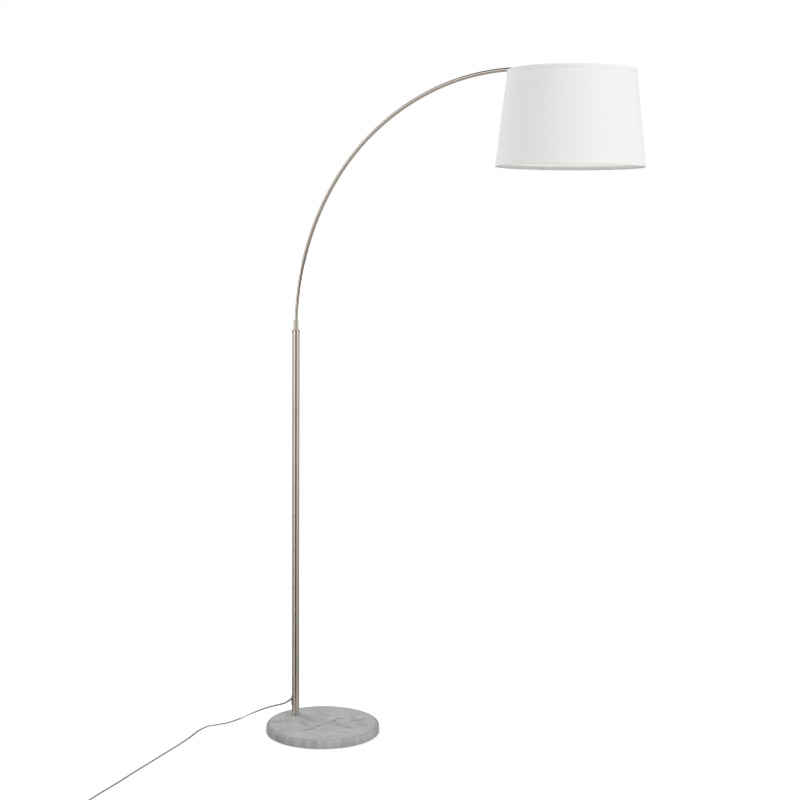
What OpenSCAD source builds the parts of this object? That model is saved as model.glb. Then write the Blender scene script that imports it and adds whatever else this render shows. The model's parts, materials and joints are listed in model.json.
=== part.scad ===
// Arc floor lamp: a stone disc, a pole near its back edge, a long bent arm and a hanging drum shade.
// Millimetres, +Z up. The origin is the centre of the disc's resting face and +X runs along the arm.

/* [Base] */
// Diameter of the stone disc
base_diameter = 334; // [310:1:400]
// Height of the stone's top face above the floor
base_height = 26; // [22:1:40]
// Radius of the rounded top edge of the stone
base_edge = 8; // [1:0.5:10]
// Thickness of the soft pad under the stone
pad_thickness = 2; // [1:0.5:3]
// Distance from the centre of the disc to the axis of the pole
pole_offset = 109; // [80:1:120]

/* [Pole] */
// Outside diameter of the pole
pole_diameter = 22; // [20:0.5:28]
// Wall of the pole
pole_wall = 1.2; // [1:0.1:2]
// Height of the pole's top end above the floor
pole_top = 1185; // [900:5:1300]
// Height of the hole where the mains cord leaves the pole
cord_hole_height = 76; // [70:1:120]

/* [Arm] */
// Outside diameter of the arm tube
arm_diameter = 10; // [9:0.1:10.5]
// Wall of the arm tube
arm_wall = 0.8; // [0.7:0.05:0.9]
// Radius of the arm's lower bend
lower_bend = 691; // [600:1:760]
// Angle of the arm's lower bend
lower_angle = 55; // [50:0.5:58]
// Radius of the arm's upper bend
upper_bend = 775; // [700:1:850]
// Angle of the arm's upper bend
upper_angle = 47.5; // [46:0.5:49]
// Distance from the end of the arm tube to the tilt pivot
knuckle_reach = 24; // [22:1:30]

/* [Shade] */
// Outside diameter of the shade's top edge
shade_top_diameter = 325; // [300:1:360]
// Outside diameter of the shade's bottom edge
shade_bottom_diameter = 380; // [340:1:420]
// Height of the shade
shade_height = 241; // [200:1:280]
// Height of the shade's top edge above the tilt pivot
shade_above_pivot = 10.4; // [9:0.1:11]
// Wire diameter of the shade's rings and spokes
wire_diameter = 4; // [3:0.5:5]
// Number of spokes that carry the shade
spokes = 3; // [3:1:4]

/* [Bulb] */
// Diameter of the bulb
bulb_diameter = 60; // [45:1:70]
// Length of the bulb with its screw base
bulb_length = 110; // [100:1:125]

/* [Cord] */
// Width of the flat mains cord
cord_width = 5.4; // [5:0.1:6]
// Thickness of the flat mains cord
cord_thickness = 2.9; // [2.4:0.1:3]

/* [Hidden] */

$fn = 96;
arc_fn = 360;
eps = 0.01;

base_radius = base_diameter / 2;
pole_radius = pole_diameter / 2;
pole_bore = pole_radius - pole_wall;
arm_radius = arm_diameter / 2;
arm_bore = arm_radius - arm_wall;

// Bolted joint under the stone, stacked upwards from the pad.
recess_depth = 12;
recess_top = pad_thickness + recess_depth;
recess_radius = 25;
bolt_radius = 5;
bolt_slack = 0.2;
washer_radius = 20;
washer_thickness = 2.5;
spring_radius = 8.5;
spring_thickness = 2.2;
bolt_head = 6.4;
bolt_flats = 17;
bolt_reach = 22;
foot_height = 30;

cord_hole_radius = 4.5;

// Swivel at the pole's top.
cap_rise = 2;
cap_skirt = 6;
cap_top = pole_top + cap_rise;
thrust_thickness = 1;
collar_bottom = cap_top + thrust_thickness;
collar_top = pole_top + 30;
collar_radius = 7.5;
collar_grooves = [12, 19, 27];
groove_width = 1;
groove_depth = 0.4;
spigot_radius = 6;
spigot_bore = 3.3;
spigot_bottom = pole_top - 63;
spigot_top = collar_bottom + 10;
bush_bottom = pole_top - 57;
running_gap = 0.05;
slip_gap = 0.15;
wire_radius = 2.6;
wire_break = pole_top - 67;

// The arm is two tangent bends in the plane Y = 0. Centres and ends are [X, Z].
tube_start = collar_bottom + 12;
lower_centre = [lower_bend - pole_offset, cap_top];
bend_joint = lower_centre + lower_bend * [-cos(lower_angle), sin(lower_angle)];
upper_centre = bend_joint + upper_bend * [cos(lower_angle), -sin(lower_angle)];
whole_angle = lower_angle + upper_angle;
arm_end = upper_centre + upper_bend * [-cos(whole_angle), sin(whole_angle)];
arm_dip = whole_angle - 90;
pivot = arm_end + knuckle_reach * [cos(arm_dip), -sin(arm_dip)];

// Tilt knuckle, with its pivot along Y.
ear_radius = 8;
ear_thickness = 3;
tongue_half = 3;
ear_inside = tongue_half + 0.2;
ear_outside = ear_inside + ear_thickness;
pivot_radius = 2.5;
pivot_nut_height = 3;

// Lamp holder. Each value is a depth below the pivot.
hub_depth = 9;
cap_depth = 15;
cap_shoulder = 24;
switch_depth = 31;
flange_depth = 38;
ring_depth = 41;
nut_depth = 43;
nut_bottom = 51;
sleeve_bottom = 78;
bulb_tip = 52;
hub_radius = 7;
nipple_radius = 4.9;
nipple_nut_height = 3;
lead_bore = 1.8;
lock_gap = 0.15;
boss_top = 26;
terminal_offset = 9;
terminal_radius = 2;
shell_top = 51;
shell_bottom = 76;
cap_radius = 18;
cap_wall = 1.2;
sleeve_radius = 19;
socket_bore = 14;
screw_radius = 13.1;
switch_angle = -60;
shaft_radius = 2;
shaft_start = 8;
shaft_end = 34;
knob_start = 25;

// Bulb. Each value is a depth below the pivot.
bulb_stub = 53.5;
bulb_thread = 57;
bulb_mouth = 80;
bulb_neck = 86;
neck_radius = 14.3;

// Shade skins, from the outside in.
shade_top = pivot[1] + shade_above_pivot;
shade_bottom = shade_top - shade_height;
trim_skin = 0.4;
fabric_skin = 0.6;
liner_skin = 0.5;
trim_height = 9;
skin_depth = fabric_skin + liner_skin;
wire_radius_shade = wire_diameter / 2;
spoke_radius = wire_radius_shade - 0.1;

// Mains cord: points of its route from the strain relief over the floor to the coil.
grommet_face = [-122, 0, cord_hole_height];
cord_lie = 1.6;
cord_route = [[-140, 0, 63], [-155, 0, 54], [-180, -1, 44], [-208, -5, 34], [-235, -14, 22],
              [-256, -33, 11], [-264, -58, 5], [-266, -80, 3], [-267, -104, cord_lie],
              [-270, -135, cord_lie], [-281, -165, cord_lie], [-290, -193, cord_lie],
              [-282, -236, cord_lie], [-260, -290, cord_lie], [-241, -342, cord_lie],
              [-225, -392, cord_lie], [-210, -442, cord_lie], [-194, -492, cord_lie],
              [-178, -545, cord_lie], [-161, -600, cord_lie], [-143, -655, cord_lie],
              [-126, -710, cord_lie], [-110, -765, cord_lie], [-95, -812, cord_lie],
              [-82, -846, 2], [-77, -875, 2]];
coil_centre = [-40, -875];
coil_outer_turn = 37;
coil_inner_turn = 23.5;
coil_floor = 0.6;
coil_height = 6;
tail_route = [[-40, -912, 5], [-25, -911, 5], [-10, -909, 6], [4, -908, 7]];
plug_back = [4, -908, 7];
plug_neck = 20;
plug_grip = 28;

function skin_radius(z) =
    shade_bottom_diameter / 2 - trim_skin
    - (shade_bottom_diameter - shade_top_diameter) / 2 * (z - shade_bottom) / shade_height;

// A smooth curve through every point of a route.
function clamped(route, i) = route[max(0, min(len(route) - 1, i))];
function between(route, i, t) =
    let (a = clamped(route, i - 1), b = clamped(route, i),
         c = clamped(route, i + 1), d = clamped(route, i + 2))
    0.5 * (2 * b + (c - a) * t + (2 * a - 5 * b + 4 * c - d) * t * t
           + (3 * b - a - 3 * c + d) * t * t * t);
function smooth(route, steps) =
    [for (i = [0 : len(route) - 2], j = [0 : steps - 1]) between(route, i, j / steps),
     route[len(route) - 1]];
function unit(v) = v / norm(v);
function heading(path, i) = unit(clamped(path, i + 1) - clamped(path, i - 1));
function oval(path, i, half, upright, sides) =
    let (along = heading(path, i), across = unit(cross(along, upright)),
         up = cross(across, along))
    [for (k = [0 : sides - 1])
        path[i] + across * half[0] * cos(360 * k / sides) + up * half[1] * sin(360 * k / sides)];

// An oval section swept along a path as one closed surface. half holds its two half widths.
module swept(path, half, upright, sides) {
    rings = len(path);
    points = [for (i = [0 : rings - 1]) each oval(path, i, half, upright, sides)];
    walls = [for (i = [0 : rings - 2], k = [0 : sides - 1])
        let (n = (k + 1) % sides)
        [i * sides + k, i * sides + n, (i + 1) * sides + n, (i + 1) * sides + k]];
    first = [for (k = [sides - 1 : -1 : 0]) k];
    last = [for (k = [0 : sides - 1]) (rings - 1) * sides + k];
    polyhedron(points, concat(walls, [first], [last]), convexity = 10);
}

module flat_cord(route) {
    swept(smooth(route, 3), [cord_width / 2, cord_thickness / 2], [0, 0, 1], 10);
}

module ring(outer, inner, height) {
    difference() {
        cylinder(r = outer, h = height);
        translate([0, 0, -1]) cylinder(r = inner, h = height + 2);
    }
}

module hexagon(across_flats, height) {
    cylinder(d = across_flats / cos(30), h = height, $fn = 6);
}

// A straight round rod between two points.
module rod(from, to, radius) {
    along = to - from;
    flat = norm([along[0], along[1]]);
    translate(from) rotate([0, atan2(flat, along[2]), atan2(along[1], along[0])])
        cylinder(r = radius, h = norm(along));
}

// Sweeps its flat child round a bend in the plane Y = 0, between two angles from +X.
module bend(centre, radius, from, to) {
    translate([centre[0], 0, centre[1]]) rotate([90, 0, 0]) rotate([0, 0, from])
        rotate_extrude(angle = to - from, $fn = arc_fn) translate([radius, 0]) children();
}

module at_pole(height) { translate([-pole_offset, 0, height]) children(); }
module at_pivot() { translate([pivot[0], 0, pivot[1]]) children(); }
module below_pivot(depth) { translate([pivot[0], 0, pivot[1] - depth]) children(); }

// Along the end of the arm tube: the child's +X continues the tube and its +Z is the upper side.
module at_arm_end() { translate([arm_end[0], 0, arm_end[1]]) rotate([0, arm_dip, 0]) children(); }

// The switch's axis: the child's +Z points outwards from the middle of the lamp holder.
module at_switch(out) {
    below_pivot(switch_depth) rotate([0, 0, switch_angle]) rotate([0, 90, 0])
        translate([0, 0, out]) children();
}

// ---- Base ----

module base_pad() {
    color("dimgray") cylinder(r = base_radius - base_edge, h = pad_thickness, $fn = arc_fn);
}

module marble_base() {
    stone = base_height - pad_thickness;
    color("lightgray") difference() {
        translate([0, 0, pad_thickness]) rotate_extrude($fn = arc_fn) {
            square([base_radius - base_edge, stone]);
            square([base_radius, stone - base_edge]);
            translate([base_radius - base_edge, stone - base_edge])
                intersection() { circle(r = base_edge); square(base_edge + 1); }
        }
        at_pole(0) cylinder(r = bolt_radius + 1, h = base_height + 1);
        at_pole(pad_thickness - 1) cylinder(r = recess_radius, h = recess_depth + 1);
    }
}

module base_washer() {
    color("silver") at_pole(recess_top - washer_thickness)
        ring(washer_radius, bolt_radius + bolt_slack, washer_thickness);
}

module spring_washer() {
    split = 1;
    color("gray") at_pole(recess_top - washer_thickness - spring_thickness) difference() {
        ring(spring_radius, bolt_radius + bolt_slack, spring_thickness);
        rotate([0, 0, 30]) translate([0, -split / 2, -1])
            cube([spring_radius + 1, split, spring_thickness + 2]);
    }
}

module base_bolt() {
    head_top = recess_top - washer_thickness - spring_thickness;
    color("gray") {
        at_pole(head_top - bolt_head) hexagon(bolt_flats, bolt_head);
        at_pole(head_top - eps) cylinder(r = bolt_radius, h = base_height + bolt_reach - head_top);
    }
}

// ---- Pole ----

module pole_foot() {
    color("gray") at_pole(base_height) ring(pole_bore, bolt_radius, foot_height);
}

module pole_tube() {
    color("silver") difference() {
        at_pole(base_height) ring(pole_radius, pole_bore, pole_top - base_height);
        at_pole(cord_hole_height) rotate([0, -90, 0])
            cylinder(r = cord_hole_radius, h = pole_radius + 2);
    }
}

module pole_cap() {
    skin = 0.8;
    straight = cap_skirt + cap_rise - skin;
    color("silver") at_pole(pole_top - cap_skirt) difference() {
        union() {
            cylinder(r = pole_radius + skin, h = straight);
            translate([0, 0, straight])
                cylinder(r1 = pole_radius + skin, r2 = pole_radius, h = skin);
        }
        translate([0, 0, -1]) cylinder(r = pole_radius, h = cap_skirt + 1);
        cylinder(r = spigot_radius + 0.5, h = cap_skirt + cap_rise + 1);
    }
}

module swivel_bush() {
    color("ivory") at_pole(bush_bottom)
        ring(pole_bore, spigot_radius + running_gap, pole_top - bush_bottom);
}

// An oval plate wrapped on the back of the pole, with a tapered sleeve that points down the cord.
module cord_grommet() {
    skin = 3;
    inside = 7;
    color("darkgray") {
        difference() {
            intersection() {
                at_pole(0) cylinder(r = pole_radius + skin, h = 2 * cord_hole_height);
                at_pole(cord_hole_height - 5) rotate([0, -90, 0]) oval_bar(12, 5, 2 * pole_radius);
            }
            at_pole(0) cylinder(r = pole_radius, h = 2 * cord_hole_height);
        }
        at_pole(cord_hole_height) rotate([0, -90, 0]) translate([0, 0, inside])
            cylinder(r = cord_hole_radius - 0.1, h = pole_radius + skin - 1 - inside);
        sleeve();
    }
}

// A bar with round ends, standing on its flat face. reach runs to the middle of each end.
module oval_bar(reach, half, height) {
    for (end = [-reach, reach]) translate([end, 0, 0]) cylinder(r = half, h = height);
    translate([-reach, -half, 0]) cube([2 * reach, 2 * half, height]);
}

module sleeve() {
    along = cord_route[0] - grommet_face;
    translate(grommet_face) rotate([0, -atan2(-along[0], along[2]), 0])
        cylinder(r1 = 4.4, r2 = cord_width / 2 + 0.3, h = norm(along));
}

// The cord inside the pole, from the grommet up to the foot of the swivel.
module pole_wire() {
    turn = 7;
    color("lightgray") {
        at_pole(cord_hole_height + turn)
            cylinder(r = wire_radius, h = wire_break - cord_hole_height - turn);
        bend([-pole_offset - turn, cord_hole_height + turn], turn, -90, 0)
            circle(r = wire_radius);
    }
}

// ---- Mains cord ----

module cord_tube() {
    color("silver") flat_cord(cord_route);
}

module cord_tail() {
    color("silver") flat_cord(tail_route);
}

module cord_coil() {
    inner = coil_inner_turn - cord_width / 2;
    outer = coil_outer_turn + cord_width / 2;
    color("silver") translate([coil_centre[0], coil_centre[1], coil_floor])
        rotate_extrude() translate([inner, 0]) square([outer - inner, coil_height]);
}

module cord_tie() {
    slack = 0.3;
    inner = coil_inner_turn - cord_width / 2 - slack;
    outer = coil_outer_turn + cord_width / 2 + slack;
    skin = 0.6;
    tie_width = 4;
    top = coil_floor + coil_height + slack + skin;
    color("black") translate([coil_centre[0], coil_centre[1], 0]) rotate([0, 0, 30]) {
        difference() {
            translate([inner - skin, -tie_width / 2, 0])
                cube([outer - inner + 2 * skin, tie_width, top]);
            translate([inner, -tie_width, skin - eps])
                cube([outer - inner, 2 * tie_width, coil_height + slack + eps]);
        }
        translate([outer - 8, -3, top - eps]) cube([6, 6, 3]);
    }
}

// The plug lies flat with its blades pointing along +X.
module plug_body() {
    half_width = 12;
    half_height = 6.8;
    color("silver") translate(plug_back) rotate([0, 90, 0]) {
        cylinder(r1 = 3.4, r2 = 5.2, h = plug_neck);
        translate([0, 0, plug_neck]) intersection() {
            translate([-half_height, -half_width, 0])
                cube([2 * half_height, 2 * half_width, plug_grip]);
            cylinder(r1 = 9, r2 = 25, h = plug_grip);
        }
    }
}

// The right blade is the narrow one and the left blade is the wide one.
module plug_blades() {
    spacing = 12.7;
    thickness = 1.5;
    reach = 17.5;
    face = plug_neck + plug_grip;
    color("gold") for (side = [-1, 1]) {
        width = side < 0 ? 6.3 : 7.9;
        translate(plug_back + [face - eps, side * spacing / 2 - thickness / 2, -width / 2])
            difference() {
                cube([reach, thickness, width]);
                translate([reach - 6, -1, width / 2]) rotate([-90, 0, 0]) cylinder(r = 1.6, h = 4);
            }
    }
}

// ---- Swivel and arm ----

module thrust_washer() {
    color("ivory") at_pole(cap_top) ring(collar_radius - 0.2, spigot_radius + 0.3, thrust_thickness);
}

module swivel_spigot() {
    color("gray") at_pole(spigot_bottom)
        ring(spigot_radius, spigot_bore, spigot_top - spigot_bottom);
}

module spigot_clip() {
    color("dimgray") at_pole(bush_bottom - 1.8) difference() {
        ring(8.4, spigot_radius, 1.2);
        translate([0, -2, -1]) cube([10, 4, 4]);
    }
}

module neck_collar() {
    height = collar_top - collar_bottom;
    edge = 0.6;
    color("silver") at_pole(collar_bottom) difference() {
        union() {
            cylinder(r = collar_radius, h = height - edge);
            translate([0, 0, height - edge])
                cylinder(r1 = collar_radius, r2 = collar_radius - edge, h = edge);
        }
        translate([0, 0, -1]) cylinder(r = spigot_radius, h = spigot_top - collar_bottom + 1);
        cylinder(r = spigot_bore, h = height);
        translate([0.3, 0, tube_start - collar_bottom]) cylinder(r = arm_radius + 0.3, h = height);
        for (rise = collar_grooves)
            translate([0, 0, pole_top + rise - collar_bottom - groove_width / 2])
                ring(collar_radius + 1, collar_radius - groove_depth, groove_width);
    }
}

module tube_section() {
    difference() {
        circle(r = arm_radius, $fn = 48);
        circle(r = arm_bore, $fn = 48);
    }
}

module arm_lower() {
    skip = asin((tube_start - cap_top) / lower_bend);
    color("silver") bend(lower_centre, lower_bend, 180 - lower_angle, 180 - skip) tube_section();
}

module arm_upper() {
    color("silver") bend(upper_centre, upper_bend, 180 - whole_angle, 180 - lower_angle)
        tube_section();
}

// A short sleeve inside the tube holds the two arm sections in line.
module arm_coupler() {
    half = 2.4;
    joint = 180 - lower_angle;
    wall = 0.6;
    color("gray") bend(lower_centre, lower_bend, joint - half, joint + half) difference() {
        circle(r = arm_bore - slip_gap, $fn = 48);
        circle(r = arm_bore - slip_gap - wall, $fn = 48);
    }
}

function arc(centre, radius, from, to, steps) =
    [for (i = [1 : steps])
        let (angle = from + (to - from) * i / steps)
        [centre[0] + radius * cos(angle), 0, centre[1] + radius * sin(angle)]];

// The cord inside the spigot and the arm, along the middle of both bends.
module arm_wire() {
    steps = 24;
    straight = [[-pole_offset, 0, wire_break + 0.5], [-pole_offset, 0, cap_top]];
    color("lightgray") swept(
        concat(straight, arc(lower_centre, lower_bend, 180, 180 - lower_angle, steps),
               arc(upper_centre, upper_bend, 180 - lower_angle, 180 - whole_angle, steps)),
        [wire_radius, wire_radius], [0, 1, 0], 16);
}

// The fixed half of the knuckle: a stem in the arm tube, a shoulder and two ears.
module knuckle_fork() {
    stem = 14;
    shoulder = 7;
    wire_bore = 3;
    color("silver") at_arm_end() difference() {
        union() {
            translate([-stem, 0, 0]) rotate([0, 90, 0]) cylinder(r = arm_bore - slip_gap, h = stem);
            rotate([0, 90, 0]) cylinder(r = ear_outside + 0.7, h = shoulder);
            for (side = [-1, 1]) ear(side, shoulder);
        }
        translate([-stem - 1, 0, 0]) rotate([0, 90, 0])
            cylinder(r = wire_bore, h = stem + shoulder + 2);
        translate([knuckle_reach, 0, 0]) rotate([90, 0, 0])
            cylinder(r = pivot_radius, h = 30, center = true);
    }
}

module ear(side, shoulder) {
    middle = side * (ear_inside + ear_outside) / 2;
    translate([shoulder - 1, middle - ear_thickness / 2, -6])
        cube([knuckle_reach - shoulder + 1, ear_thickness, 12]);
    translate([knuckle_reach, middle, 0]) rotate([90, 0, 0])
        cylinder(r = ear_radius, h = ear_thickness, center = true);
}

module pivot_screw() {
    head = 2.4;
    head_radius = 4.5;
    slot = 1.2;
    color("silver") at_pivot() rotate([90, 0, 0]) difference() {
        union() {
            translate([0, 0, -ear_outside - pivot_nut_height])
                cylinder(r = pivot_radius, h = 2 * ear_outside + pivot_nut_height);
            translate([0, 0, ear_outside]) cylinder(r = head_radius, h = head);
        }
        translate([-head_radius - 1, -slot / 2, ear_outside + head - 1])
            cube([2 * head_radius + 2, slot, 2]);
    }
}

// A hexagon nut with a domed cap.
module pivot_nut() {
    flats = 8;
    dome = 3.9;
    color("silver") at_pivot() rotate([-90, 0, 0]) translate([0, 0, ear_outside]) difference() {
        union() {
            hexagon(flats, pivot_nut_height);
            translate([0, 0, pivot_nut_height]) intersection() {
                sphere(r = dome);
                cylinder(r = dome + 1, h = dome + 1);
            }
        }
        translate([0, 0, -1]) cylinder(r = pivot_radius, h = pivot_nut_height + 1);
    }
}

// ---- Lamp holder ----

module knuckle_tongue() {
    color("silver") at_pivot() difference() {
        union() {
            rotate([90, 0, 0]) cylinder(r = ear_radius, h = 2 * tongue_half, center = true);
            translate([-6, -tongue_half, -hub_depth - 1]) cube([12, 2 * tongue_half, hub_depth + 1]);
            translate([0, 0, -cap_depth]) cylinder(r = hub_radius, h = cap_depth - hub_depth);
        }
        rotate([90, 0, 0]) cylinder(r = pivot_radius + running_gap, h = 30, center = true);
        translate([0, 0, -cap_depth - 1]) cylinder(r = nipple_radius, h = 5);
        translate([0, 0, -cap_depth]) cylinder(r = lead_bore, h = cap_depth - 5);
    }
}

module socket_nipple() {
    bottom = 23;
    bore = 3.6;
    length = 12;
    color("gold") below_pivot(bottom) ring(nipple_radius, bore, length);
}

module nipple_nut() {
    flats = 13;
    color("gold") below_pivot(cap_depth + cap_wall + lock_gap + nipple_nut_height) difference() {
        hexagon(flats, nipple_nut_height);
        translate([0, 0, -1]) cylinder(r = nipple_radius, h = nipple_nut_height + 2);
    }
}

module socket_lead() {
    bottom = 25;
    length = 13.5;
    color("lightgray") below_pivot(bottom) cylinder(r = wire_radius, h = length);
}

// The outline of the cap from its axis, as [radius, depth below the pivot turned negative].
module cap_outline(inset) {
    round_radius = cap_shoulder - cap_depth;
    translate([0, -flange_depth]) square([cap_radius - inset, flange_depth - cap_shoulder]);
    translate([0, -cap_shoulder]) square([cap_radius - round_radius, round_radius - inset]);
    translate([cap_radius - round_radius, -cap_shoulder]) intersection() {
        circle(r = round_radius - inset);
        square(round_radius);
    }
}

module socket_cap() {
    color("silver") difference() {
        at_pivot() rotate_extrude() cap_outline(0);
        at_pivot() translate([0, 0, -eps]) rotate_extrude() cap_outline(cap_wall);
        below_pivot(flange_depth + 1) cylinder(r = cap_radius - cap_wall, h = 2);
        below_pivot(cap_shoulder) cylinder(r = nipple_radius, h = 20);
        at_switch(10) cylinder(r = 3.5, h = 12);
    }
}

module socket_body() {
    color("black") difference() {
        union() {
            below_pivot(flange_depth + 1) cylinder(r = 16.4, h = flange_depth + 1 - boss_top);
            below_pivot(ring_depth) cylinder(r = 22, h = ring_depth - flange_depth);
            below_pivot(sleeve_bottom) cylinder(r = sleeve_radius, h = sleeve_bottom - ring_depth);
        }
        below_pivot(sleeve_bottom + 1)
            cylinder(r = socket_bore, h = sleeve_bottom + 2 - shell_top);
        at_switch(6) cylinder(r = 2.4, h = 14);
        at_switch(14) cylinder(r = 3.6, h = 10);
        for (side = [-1, 1]) translate([pivot[0], side * terminal_offset, pivot[1] - switch_depth])
            cylinder(r = terminal_radius, h = switch_depth - boss_top + 1);
    }
}

module terminal_screws() {
    length = 6;
    color("gold") for (side = [-1, 1])
        translate([pivot[0], side * terminal_offset, pivot[1] - switch_depth]) {
            cylinder(r = terminal_radius, h = length);
            translate([0, 0, length]) cylinder(r = 3.4, h = 1.6);
        }
}

module screw_shell() {
    skin = 0.4;
    outside = socket_bore - 0.1;
    length = shell_bottom - shell_top;
    color("gold") difference() {
        below_pivot(shell_bottom) cylinder(r = outside, h = length);
        below_pivot(shell_bottom + 1) cylinder(r = outside - skin, h = length + 1 - skin);
        below_pivot(shell_bottom) cylinder(r = 5.5, h = shell_bottom);
    }
}

module centre_contact() {
    color("gold") below_pivot(bulb_tip) cylinder(r = 4, h = bulb_tip + 1 - shell_top);
}

// The threaded ring that clamps the shade's middle ring against the flange.
module ring_nut() {
    grips = 12;
    outside = 24;
    height = nut_bottom - nut_depth;
    color("black") below_pivot(nut_bottom) difference() {
        ring(outside, sleeve_radius, height);
        for (i = [0 : grips - 1]) rotate([0, 0, i * 360 / grips])
            translate([outside + 0.8, 0, -1]) cylinder(r = 2, h = height + 2);
    }
}

module switch_bush() {
    color("silver") difference() {
        union() {
            at_switch(14.6) cylinder(r = 3.5, h = 6.4);
            at_switch(cap_radius) hexagon(10, 1.8);
        }
        at_switch(10) cylinder(r = shaft_radius + running_gap, h = 20);
    }
}

module switch_shaft() {
    color("silver") at_switch(shaft_start) cylinder(r = shaft_radius, h = shaft_end - shaft_start);
}

module switch_knob() {
    flutes = 12;
    length = 13;
    outside = 6.8;
    edge = 1;
    color("black") at_switch(knob_start) difference() {
        union() {
            cylinder(r = outside, h = length - edge);
            translate([0, 0, length - edge]) cylinder(r1 = outside, r2 = outside - edge, h = edge);
        }
        translate([0, 0, -1]) cylinder(r = shaft_radius, h = shaft_end - knob_start + 1);
        for (i = [0 : flutes - 1]) rotate([0, 0, i * 360 / flutes])
            translate([outside + 0.4, 0, -1]) cylinder(r = 0.9, h = length + 2, $fn = 24);
    }
}

// ---- Shade ----

// A ring of the shade's cone between two heights and two depths under its outer skin.
module skin_band(low, high, outside, inside) {
    rotate_extrude($fn = arc_fn) polygon([
        [skin_radius(low) - outside, low], [skin_radius(high) - outside, high],
        [skin_radius(high) - inside, high], [skin_radius(low) - inside, low]]);
}

module on_shade_axis() { translate([pivot[0], 0, 0]) children(); }

module shade_fabric() {
    color("white") on_shade_axis()
        skin_band(shade_bottom + trim_skin, shade_top - trim_skin, 0, fabric_skin);
}

module shade_liner() {
    color("whitesmoke") on_shade_axis()
        skin_band(shade_bottom + trim_skin, shade_top - trim_skin, fabric_skin, skin_depth);
}

// The hem tape folds over the edge of both skins.
module bottom_trim() {
    color("beige") on_shade_axis() {
        skin_band(shade_bottom, shade_bottom + trim_height, -trim_skin, 0);
        skin_band(shade_bottom, shade_bottom + trim_skin, -trim_skin, skin_depth + trim_skin);
        skin_band(shade_bottom, shade_bottom + trim_height, skin_depth, skin_depth + trim_skin);
    }
}

module top_trim() {
    color("beige") on_shade_axis() {
        skin_band(shade_top - trim_height, shade_top, -trim_skin, 0);
        skin_band(shade_top - trim_skin, shade_top, -trim_skin, skin_depth + trim_skin);
        skin_band(shade_top - trim_height, shade_top, skin_depth, skin_depth + trim_skin);
    }
}

function ring_reach(z) = skin_radius(z) - skin_depth - trim_skin - wire_radius_shade - 0.2;

module wire_ring(z) {
    on_shade_axis() translate([0, 0, z]) rotate_extrude($fn = arc_fn)
        translate([ring_reach(z), 0]) circle(r = wire_radius_shade, $fn = 32);
}

module bottom_ring() {
    color("white") wire_ring(shade_bottom + wire_radius_shade + 1);
}

// The top ring, the spokes and the flat middle ring are welded into one frame.
module shade_frame() {
    ring_z = shade_top - wire_radius_shade - 1;
    middle_z = pivot[1] - (ring_depth + nut_depth) / 2;
    middle_out = 29;
    color("white") {
        wire_ring(ring_z);
        below_pivot(nut_depth) ring(middle_out, sleeve_radius + 0.3, nut_depth - ring_depth);
        for (i = [0 : spokes - 1]) on_shade_axis() rotate([0, 0, i * 360 / spokes])
            rod([middle_out - 2, 0, middle_z], [ring_reach(ring_z), 0, ring_z], spoke_radius);
    }
}

// ---- Bulb ----

module bulb_base() {
    color("silver") {
        below_pivot(bulb_mouth) cylinder(r = screw_radius, h = bulb_mouth - bulb_thread);
        below_pivot(bulb_thread) cylinder(r1 = screw_radius, r2 = 5, h = bulb_thread - bulb_stub);
        below_pivot(bulb_stub + eps) cylinder(r = 4.5, h = bulb_stub - bulb_tip);
    }
}

// Half the outline of the bulb's envelope from its tip up to its neck, as [radius, height].
function bulb_outline(inset) =
    let (radius = bulb_diameter / 2,
         middle = radius - bulb_tip - bulb_length,
         neck = [neck_radius, -bulb_neck],
         lean = atan2(neck[1] - middle, neck[0]),
         touch = lean - acos(radius / norm([neck[0], neck[1] - middle])),
         steps = 18)
    [for (i = [0 : steps])
        let (angle = -90 + (90 + touch) * i / steps)
        [(radius - inset) * cos(angle), middle + (radius - inset) * sin(angle)],
     neck - [inset, 0], [screw_radius + 0.3 - inset, -bulb_mouth - inset],
     [0, -bulb_mouth - inset]];

module bulb_glass() {
    outer = bulb_outline(0);
    inner = bulb_outline(1);
    reversed = [for (i = [len(inner) - 1 : -1 : 0]) inner[i]];
    color("white") at_pivot() rotate_extrude() polygon(concat(outer, reversed));
}

base_pad();
marble_base();
base_bolt();
base_washer();
spring_washer();
pole_foot();
pole_tube();
pole_cap();
swivel_bush();
cord_grommet();
pole_wire();
cord_tube();
cord_coil();
cord_tail();
cord_tie();
plug_body();
plug_blades();
thrust_washer();
swivel_spigot();
spigot_clip();
neck_collar();
arm_lower();
arm_upper();
arm_coupler();
arm_wire();
knuckle_fork();
pivot_screw();
pivot_nut();
knuckle_tongue();
socket_nipple();
nipple_nut();
socket_lead();
socket_cap();
socket_body();
terminal_screws();
screw_shell();
centre_contact();
ring_nut();
switch_bush();
shade_frame();
bottom_ring();
shade_liner();
shade_fabric();
top_trim();
bottom_trim();
bulb_base();
bulb_glass();
switch_shaft();
switch_knob();
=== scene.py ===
import json
import math

import bpy
from mathutils import Matrix, Vector, noise

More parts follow.
